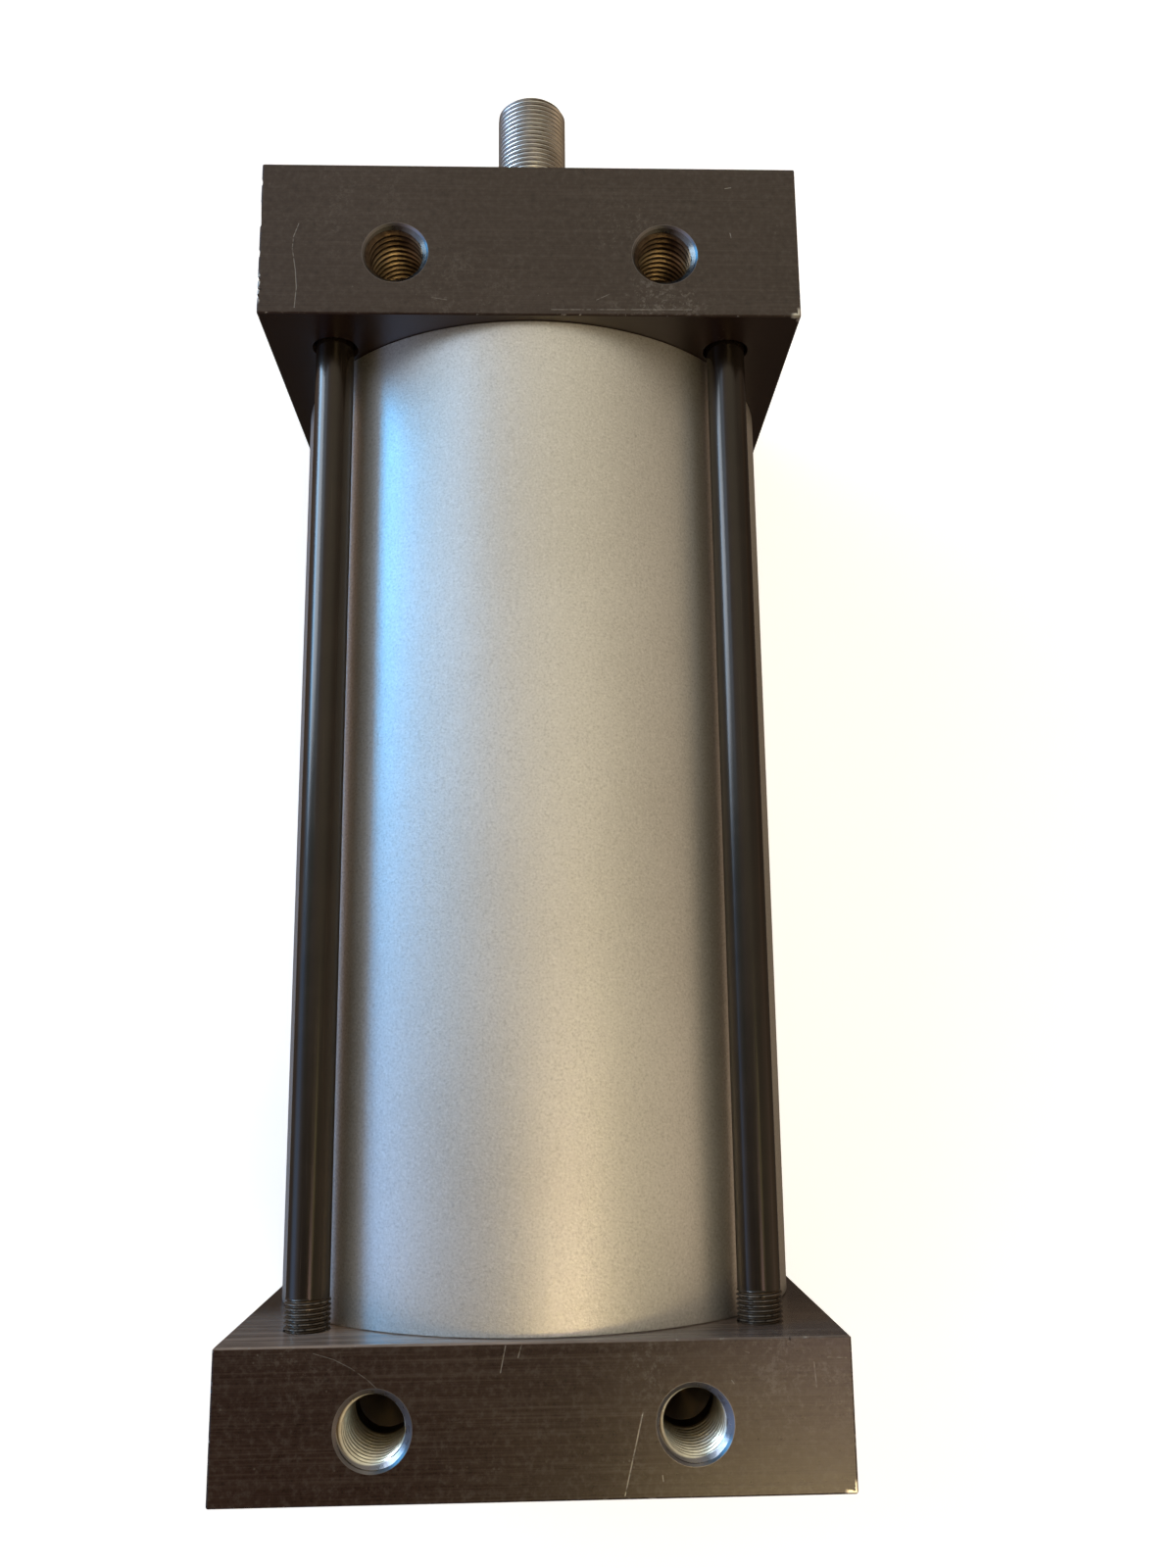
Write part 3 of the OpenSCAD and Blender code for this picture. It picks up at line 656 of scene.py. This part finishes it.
def hole_thread_look():
    """Freshly tapped aluminium: warm bright crests, darker cutting oil in the grooves, painted shade lower
    down, and the head's threads darker near the mouth.
    """
    k = Look("tapped_thread_bare")
    depth = k.sub(FACE_Z, k.z)
    ay = k.math("ABSOLUTE", k.sub(k.y, (HEAD_HOLE_Y + CAP_HOLE_Y) / 2))
    r = k.radius(k.math("ABSOLUTE", k.x), ay, HOLE_X, (HEAD_HOLE_Y - CAP_HOLE_Y) / 2)
    at_head = k.step(k.y, -1 * MM, 1 * MM)
    groove = k.step(r, k.blend(at_head, 8.50 * MM, 8.30 * MM), k.blend(at_head, 9.05 * MM, 8.95 * MM))
    cone = k.step(depth, 2.0 * MM, 1.7 * MM)
    groove = k.mul(groove, k.sub(1.0, cone))
    swarf = k.step(k.noise(420, 4.0, 0.6), 0.35, 0.65)
    # painted shade: darker towards the bottom of the holes
    lower = k.step(depth, 14 * MM, 28 * MM)
    # the head's threads darker near the mouth
    dark_near_mouth = k.mul(at_head, k.step(depth, 13 * MM, 8 * MM))
    crest = k.mix(at_head, (0.97, 0.92, 0.76), (0.60, 0.45, 0.29))
    tint = k.mix(groove, crest, k.mix(at_head, (0.13, 0.095, 0.055), (0.028, 0.015, 0.008)))
    tint = k.mix(k.mul(dark_near_mouth, 0.92), tint, (0.050, 0.028, 0.017))
    tint = k.mix(cone, tint, k.mix(at_head, CONE, (0.11, 0.10, 0.09)))
    tint = k.mix(k.mul(lower, 0.5), tint, (0.20, 0.14, 0.09))
    tint = k.mix(k.mul(swarf, k.mul(k.sub(1.0, cone), 0.25)), tint, (0.30, 0.22, 0.14))
    turned = k.noise(1.0, 2.0, 0.5, k.stretched(80, 80, 6000))
    k.set(color=tint, metal=k.sub(1.0, k.mul(groove, 0.35)),
          rough=k.add(k.blend(cone, 0.30, 0.24), k.mul(swarf, 0.12)))
    k.set(normal=k.bump(k.add(turned, swarf), 0.012 * MM))
    return k.material


def turned_look(name, colour, darker, rough, metal=1.0, grain_scale=3200, specular=0.5):
    """Plain turned or moulded piece: fine rings round Y, mottled colour, light handling marks."""
    k = Look(name)
    rings = k.noise(1.0, 3.0, 0.6, k.stretched(30, grain_scale, 30))
    faces = k.noise(1.0, 2.0, 0.5, k.stretched(grain_scale * 0.5, 30, grain_scale * 0.5), 2.5)
    cloud = k.noise(60, 4.0, 0.6, shift=1.2)
    k.set(color=k.mix(k.step(cloud, 0.3, 0.7), colour, darker), metal=metal, specular=specular,
          rough=k.add(rough, k.add(k.mul(cloud, 0.12), k.mul(rings, 0.08))))
    k.set(normal=k.bump(k.add(rings, k.mul(faces, 0.4)), 0.010 * MM))
    return k.material


def rubber_look():
    """Black nitrile, finely grained."""
    k = Look("seal_nitrile")
    fine = k.noise(1800, 3.0, 0.5)
    cloud = k.noise(120, 3.0, 0.5)
    k.set(color=k.mix(cloud, (0.012, 0.012, 0.013), (0.024, 0.023, 0.023)), metal=0.0,
          rough=k.add(0.42, k.mul(cloud, 0.16)), specular=0.45)
    k.set(normal=k.bump(fine, 0.012 * MM))
    return k.material


def plastic_look():
    """Pale filled plastic of the wear band."""
    k = Look("band_filled_plastic")
    fine = k.noise(2400, 3.0, 0.55)
    fibre = k.noise(1.0, 2.0, 0.5, k.stretched(700, 2600, 700), 1.0)
    k.set(color=k.mix(k.step(fibre, 0.4, 0.7), (0.62, 0.57, 0.43), (0.50, 0.45, 0.33)), metal=0.0,
          rough=k.add(0.50, k.mul(fine, 0.12)))
    k.set(normal=k.bump(k.add(fine, fibre), 0.010 * MM))
    return k.material


def dress(obj, material):
    """Give an object its material."""
    if len(obj.material_slots):
        obj.material_slots[0].material = material
    else:
        obj.data.materials.append(material)


def trail(width, strength, *points):
    """A scratch on the mounting face through some (x, y) points in millimetres."""
    places = [(x * MM, y * MM, FACE_Z) for x, y in points]
    return [(a, b, width * MM, strength) for a, b in zip(places, places[1:])]


# ---------------------------------------------------------------- build
rod = make_piston_rod()
smooth_pieces = [rod]
dress(rod, piston_rod_look())
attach(rod, "rod")
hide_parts("piston_rod")

tie_material = tie_rod_look()
for node in ("tie_rod_front_left", "tie_rod_front_right", "tie_rod_back_left", "tie_rod_back_right"):
    lo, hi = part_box(node)
    piece = make_tie_rod(node.replace("tie_rod", "tie_rod_threaded"),
                         (lo.x + hi.x) / 2, (lo.z + hi.z) / 2, lo.y, hi.y)
    dress(piece, tie_material)
    smooth_pieces.append(piece)
    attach(piece, "barrel")
    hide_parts(node)

tube = make_tube()
dress(tube, tube_look())
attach(tube, "barrel")
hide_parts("tube")

thread_material = hole_thread_look()
for block, hole_y in (("head", HEAD_HOLE_Y), ("cap", CAP_HOLE_Y)):
    for side, x in (("left", -HOLE_X), ("right", HOLE_X)):
        piece = make_hole_thread(f"{block}_tapped_thread_{side}", x, hole_y, HOLE_MAJOR_R, HOLE_PITCH,
                                 HOLE_THREAD_DEEP - SHORT, HOLE_MOUTH_R, True)
        dress(piece, thread_material)
        smooth_pieces.append(piece)
        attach(piece, "barrel")
port_material = turned_look("port_thread_bare", (0.62, 0.60, 0.56), (0.42, 0.38, 0.32), 0.30)
for block, hole_y in (("head", HEAD_HOLE_Y), ("cap", CAP_HOLE_Y)):
    piece = make_hole_thread(f"{block}_port_thread", 0.0, hole_y, PORT_MAJOR_R, PORT_PITCH,
                             PORT_DEEP - SHORT, PORT_MOUTH_R, False)
    dress(piece, port_material)
    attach(piece, "barrel")

# scratches: width in millimetres, strength, then the points
head_scratches = (
    trail(0.17, 0.65, (-70.7, 128.6), (-72.2, 124.0), (-72.4, 120.0), (-71.3, 113.0), (-70.8, 107.0),
          (-71.2, 100.3))
    + trail(0.16, 0.8, (60.5, 142.1), (62.4, 142.4))
    + trail(0.16, 0.8, (61.6, 126.6), (61.9, 125.0))
    + trail(0.16, 0.6, (6.0, 100.2), (49.0, 100.5))
    + trail(0.14, 0.5, (-30.0, 104.0), (-25.5, 103.2))
    + trail(0.14, 0.5, (20.0, 103.5), (24.0, 105.5))
)
cap_scratches = (
    trail(0.20, 1.0, (27.8, -211.2), (22.9, -230.7))
    + trail(0.16, 0.8, (-7.4, -194.5), (-8.7, -201.0))
    + trail(0.15, 0.7, (-3.2, -194.2), (-4.2, -197.5))
    + trail(0.14, 0.35, (-56.7, -195.5), (-51.5, -197.0), (-47.0, -199.2), (-42.8, -202.0), (-39.6, -204.8))
    + trail(0.16, 0.9, (32.5, -226.2), (32.7, -227.6))
    + trail(0.30, 0.35, (72.5, -200.0), (72.9, -206.0))
    + trail(0.16, 0.7, (54.6, -197.0), (55.6, -197.4))
    + trail(0.16, 0.7, (50.9, -204.0), (51.5, -204.8))
    + trail(0.14, 0.6, (76.0, -198.9), (81.0, -199.1))
)
# places worn to bare metal: where, reach, power
head_worn = [
    (Vector((-HALF, 0.107, FACE_Z)), 0.006, 0.7),
    (Vector((HALF, HEAD_IN, FACE_Z)), 0.0035, 1.1),
]
cap_worn = [
    (Vector((HALF, cap_lo.y, FACE_Z)), 0.004, 1.1),
]
# pale scuffs, and on the cap's right side painted light: where, reach, power
head_smudges = [
    (Vector((0.040, 0.100, FACE_Z)), 0.024, 0.42),
    (Vector((-0.020, 0.106, FACE_Z)), 0.030, 0.16),
    (Vector((-0.055, 0.135, FACE_Z)), 0.030, 0.12),
    (Vector((0.030, 0.128, FACE_Z)), 0.020, 0.22),
]
cap_scuffs_and_sheen = [
    (Vector((0.068, -0.203, FACE_Z)), 0.024, 0.25),
    (Vector((0.030, -0.200, FACE_Z)), 0.014, 0.20),
    (Vector((-0.060, CAP_IN, FACE_Z)), 0.020, 0.15),
]
# dents along the edges: where, and half sizes in millimetres
head_nicks = [
    ((-HALF, 0.1098, FACE_Z), (1.3, 1.3, 7.0)),
    ((-HALF, 0.1066, FACE_Z), (1.9, 0.9, 6.0)),
    ((-HALF, 0.1043, FACE_Z), (1.1, 0.9, 5.0)),
    ((-HALF, 0.1310, FACE_Z), (0.8, 7.5, 5.0)),
    ((-HALF, 0.1430, FACE_Z), (0.7, 1.6, 4.0)),
    ((-HALF, 0.1190, FACE_Z), (0.6, 2.4, 4.0)),
    ((-HALF, 0.0999, FACE_Z), (0.9, 0.8, 0.8)),
    ((HALF, HEAD_IN, FACE_Z), (1.3, 1.1, 1.1)),
    ((HALF, 0.1385, FACE_Z), (0.6, 0.9, 0.6)),
    ((0.031, HEAD_OUT, FACE_Z), (1.2, 0.6, 0.7)),
    ((-0.058, HEAD_OUT, 0.0), (1.4, 0.8, 0.8)),
    ((HALF, HEAD_OUT, 0.034), (0.7, 0.7, 1.3)),
]
cap_nicks = [
    ((HALF, cap_lo.y, FACE_Z), (1.2, 1.1, 1.0)),
    ((-HALF, -0.2008, FACE_Z), (0.7, 0.5, 0.6)),
    ((-HALF, -0.2040, FACE_Z), (0.6, 0.5, 0.6)),
    ((HALF, -0.2101, FACE_Z), (0.6, 0.8, 0.6)),
    ((0.0664, CAP_IN, FACE_Z), (0.25, 2.2, 0.7)),
    ((-0.049, cap_lo.y, FACE_Z), (1.0, 0.6, 0.6)),
    ((0.022, CAP_IN, FACE_Z), (0.7, 0.6, 0.5)),
    ((0.064, cap_lo.y, 0.0), (1.5, 0.8, 0.8)),
    ((-HALF, cap_lo.y, 0.118), (0.8, 0.8, 1.4)),
]
# the square blocks alone, without what stands out of their inner faces
head_inner_lo = Vector((head_lo.x, HEAD_IN, head_lo.z))
cap_inner_hi = Vector((cap_hi.x, CAP_IN, cap_hi.z))
head_dyes = ((0.036, 0.0195, 0.0130), (0.044, 0.0260, 0.0185))
# the cap's dyes are painted darker than the head's: painted shade on the cap
cap_dyes_painted_dark = ((0.024, 0.0095, 0.0065), (0.032, 0.0140, 0.0095))
head_look = block_look("head_black_anodised", head_inner_lo, head_hi, HEAD_HOLE_Y, head_scratches,
                       head_worn, head_smudges, head_dyes, gloss=0.22, paint_inner_lit=False)
cap_look = block_look("cap_black_anodised", cap_lo, cap_inner_hi, CAP_HOLE_Y, cap_scratches,
                      cap_worn, cap_scuffs_and_sheen, cap_dyes_painted_dark, gloss=0.12, paint_inner_lit=True)
for node, nicks, look in (("head_block", head_nicks, head_look), ("cap_block", cap_nicks, cap_look)):
    piece = make_nicked_block(node, node.replace("block", "block_nicked"), nicks, len(nicks))
    dress(piece, look)
    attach(piece, "barrel")
    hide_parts(node)

oxide = turned_look("black_oxide_steel", (0.020, 0.016, 0.013), (0.040, 0.032, 0.026), 0.26, 0.35)
bronze = turned_look("bearing_bronze", (0.62, 0.40, 0.17), (0.50, 0.31, 0.13), 0.24)
steel = turned_look("plain_turned_steel", (0.50, 0.48, 0.45), (0.40, 0.38, 0.35), 0.28)
alloy = turned_look("piston_bare_aluminium", (0.72, 0.71, 0.70), (0.62, 0.61, 0.60), 0.26)
rubber = rubber_look()
for node in ("tie_rod_nuts", "gland_retainer", "retainer_screws"):
    dress(NODES[node], oxide)
for node in ("rod_seal", "rod_wiper", "gland_oring", "head_tube_seal", "cap_tube_seal",
             "piston_rod_oring", "piston_seal_front", "piston_seal_rear"):
    dress(NODES[node], rubber)
dress(NODES["rod_gland"], bronze)
dress(NODES["piston_nut"], steel)
dress(NODES["piston"], alloy)
dress(NODES["wear_band"], plastic_look())


# ---------------------------------------------------------------- stage, light and camera
def stage_piece(name, verts, faces, colour, glow):
    """Part of the surroundings that only the camera sees: the light on the object is the room's."""
    mesh = bpy.data.meshes.new(name)
    mesh.from_pydata(verts, [], faces)
    obj = new_object(name, mesh)
    k = Look(name + "_pale")
    k.set(color=(colour, colour, colour), rough=0.9, specular=0.0)
    k.bsdf.inputs["Emission Color"].default_value = (1.0, 1.0, 1.0, 1)
    k.bsdf.inputs["Emission Strength"].default_value = glow
    obj.data.materials.append(k.material)
    obj.visible_glossy = False
    obj.visible_diffuse = False
    return obj


def make_stage():
    """A pale round floor and, over it, a pale dome."""
    sides, reach, drop, rings = 96, 9.0, -0.0002, 12
    circle = [(math.cos(TAU * i / sides), math.sin(TAU * i / sides)) for i in range(sides)]
    stage_piece("floor", [(reach * x, reach * y, drop) for x, y in circle], [tuple(range(sides))], 0.90, 0.65)
    verts, faces = [], []
    for j in range(rings):
        lift = TAU / 4 * j / rings
        verts += [(reach * math.cos(lift) * x, reach * math.cos(lift) * y, drop + reach * math.sin(lift))
                  for x, y in circle]
    for j in range(rings - 1):
        for i in range(sides):
            k = (i + 1) % sides
            faces.append((j * sides + i, j * sides + k, (j + 1) * sides + k, (j + 1) * sides + i))
    faces.append(tuple(range((rings - 1) * sides, rings * sides)))
    dome = stage_piece("backdrop", verts, faces, 0.0, 1.0)
    dome.visible_shadow = False


def make_world():
    """A room in soft gradients: blue window side on the left, pale ceiling towards the head, warm wall
    on the right, a dark figure beyond the cap, brown below the horizon, and a lamp overhead."""
    world = bpy.data.worlds.new("room")
    bpy.context.scene.world = world
    world.use_nodes = True
    tree = world.node_tree
    nodes, links = tree.nodes, tree.links
    nodes.clear()
    out = nodes.new("ShaderNodeOutputWorld")
    back = nodes.new("ShaderNodeBackground")
    links.new(back.outputs[0], out.inputs[0])
    coord = nodes.new("ShaderNodeTexCoord")
    split = nodes.new("ShaderNodeSeparateXYZ")
    links.new(coord.outputs["Generated"], split.inputs[0])

    def put(socket, value):
        if isinstance(value, bpy.types.NodeSocket):
            links.new(value, socket)
        else:
            socket.default_value = value

    def math_node(op, a, b=0.0):
        node = nodes.new("ShaderNodeMath")
        node.operation = op
        put(node.inputs[0], a)
        put(node.inputs[1], b)
        return node.outputs[0]

    def step(value, low, high):
        node = nodes.new("ShaderNodeMapRange")
        node.interpolation_type = "SMOOTHSTEP"
        for socket, v in zip(node.inputs, (value, low, high)):
            put(socket, v)
        return node.outputs[0]

    def mix(factor, a, b, how="MIX"):
        node = nodes.new("ShaderNodeMix")
        node.data_type = "RGBA"
        node.blend_type = how
        put(node.inputs["Factor"], factor)
        put(node.inputs[6], a)
        put(node.inputs[7], b)
        return node.outputs[2]

    # bearing round the object's long axis: 0 is straight up, -90 the left, 90 the right
    side = math_node("MULTIPLY", math_node("ARCTAN2", split.outputs[0], split.outputs[2]), 360 / TAU)
    part = math_node("ADD", math_node("DIVIDE", side, 360), 0.5)

    def gradient(stops):
        node = nodes.new("ShaderNodeValToRGB")
        links.new(part, node.inputs[0])
        band = node.color_ramp
        while len(band.elements) < len(stops):
            band.elements.new(0.5)
        for element, (deg, colour) in zip(band.elements, stops):
            element.position = deg / 360 + 0.5
            element.color = (*colour, 1)
        return node.outputs[0]

    cap_end = gradient([
        (-180, (0.08, 0.06, 0.045)), (-135, (0.08, 0.06, 0.045)), (-105, (0.12, 0.11, 0.11)),
        (-90, (0.48, 0.80, 1.35)), (-75, (0.86, 1.20, 2.00)), (-58, (0.68, 0.64, 0.66)),
        (-40, (0.22, 0.13, 0.09)), (-20, (0.05, 0.035, 0.025)), (0, (0.035, 0.025, 0.018)),
        (25, (0.13, 0.11, 0.06)), (50, (0.42, 0.37, 0.25)), (78, (0.66, 0.49, 0.34)),
        (90, (0.75, 0.57, 0.42)), (105, (0.42, 0.30, 0.18)), (135, (0.10, 0.075, 0.055)),
        (180, (0.08, 0.06, 0.045)),
    ])
    head_end = gradient([
        (-180, (0.08, 0.06, 0.045)), (-135, (0.14, 0.10, 0.075)), (-105, (0.42, 0.28, 0.20)),
        (-90, (0.58, 0.65, 0.80)), (-75, (0.15, 0.40, 0.80)), (-58, (0.06, 0.18, 0.25)),
        (-40, (0.27, 0.37, 0.30)), (-20, (0.72, 0.66, 0.60)), (0, (0.78, 0.72, 0.56)),
        (25, (0.70, 0.66, 0.52)), (50, (0.40, 0.35, 0.28)), (78, (0.30, 0.26, 0.20)),
        (90, (0.30, 0.21, 0.14)), (105, (0.14, 0.10, 0.07)), (135, (0.08, 0.06, 0.045)),
        (180, (0.08, 0.06, 0.045)),
    ])
    light = mix(step(split.outputs[1], -0.35, 0.35), cap_end, head_end)
    # soft panes: bearing from and to, slope along Y from and to, how soft each is, colour
    panes = [
        (-72, -46, 0.22, 0.42, 3.0, 0.03, (1.0, 1.1, 1.3)),
        (-86, -72, 0.22, 0.68, 3.0, 0.03, (0.4, 3.4, 7.2)),
        (-46, -30, 0.22, 0.68, 3.0, 0.03, (1.0, 1.3, 1.9)),
        (21, 29, -0.14, -0.02, 1.5, 0.02, (1.6, 1.5, 0.6)),
        (10, 22, -0.30, -0.14, 1.5, 0.02, (3.2, 2.2, 2.2)),
        (6, 20, -0.48, -0.30, 1.5, 0.02, (11.0, 8.5, 4.0)),
    ]
    for left, right, near, far, soft, soft_y, colour in panes:
        across = math_node("MULTIPLY", step(side, left - soft, left + soft),
                           step(side, right + soft, right - soft))
        along = math_node("MULTIPLY", step(split.outputs[1], near - soft_y, near + soft_y),
                          step(split.outputs[1], far + soft_y, far - soft_y))
        light = mix(math_node("MULTIPLY", across, along), light, (*colour, 1), how="ADD")
    links.new(light, back.inputs[0])


def make_window(pieces):
    """The same window again, full bright, for the smooth pieces alone: the rods and the tapped threads
    mirror it, while the satin tube and the blocks take their light from the room."""
    group = bpy.data.collections.new("smooth_pieces")
    for piece in pieces:
        group.objects.link(piece)
    data = bpy.data.lights.new("window", "AREA")
    data.shape = "RECTANGLE"
    data.size, data.size_y = 1.1, 1.5
    data.energy = 40
    data.color = (0.66, 0.82, 1.0)
    obj = new_object("window", data)
    obj.location = (-1.65, 1.05, 0.72)
    aim = Vector((-0.05, 0.05, 0.12)) - obj.location
    obj.rotation_euler = aim.to_track_quat("-Z", "Z").to_euler()
    obj.light_linking.receiver_collection = group


def make_camera():
    """Camera close above the object, looking down past the cap towards the head."""
    data = bpy.data.cameras.new("camera")
    data.lens = 29.854
    data.sensor_width = 36.0
    data.clip_start = 0.01
    data.clip_end = 60.0
    obj = new_object("camera", data)
    forward = Vector((0.034275, 0.198594, -0.979482)).normalized()
    up = Vector((0.005232, 0.980009, 0.198884))
    right = forward.cross(up).normalized()
    up = right.cross(forward)
    matrix = obj.matrix_world.copy()
    for row in range(3):
        matrix[row][0] = right[row]
        matrix[row][1] = up[row]
        matrix[row][2] = -forward[row]
    matrix.translation = Vector((0.003122, -0.119352, 0.523250))
    obj.matrix_world = matrix
    bpy.context.scene.camera = obj


make_stage()
make_world()
make_window(smooth_pieces)
make_camera()
bpy.context.scene.view_settings.view_transform = "Standard"
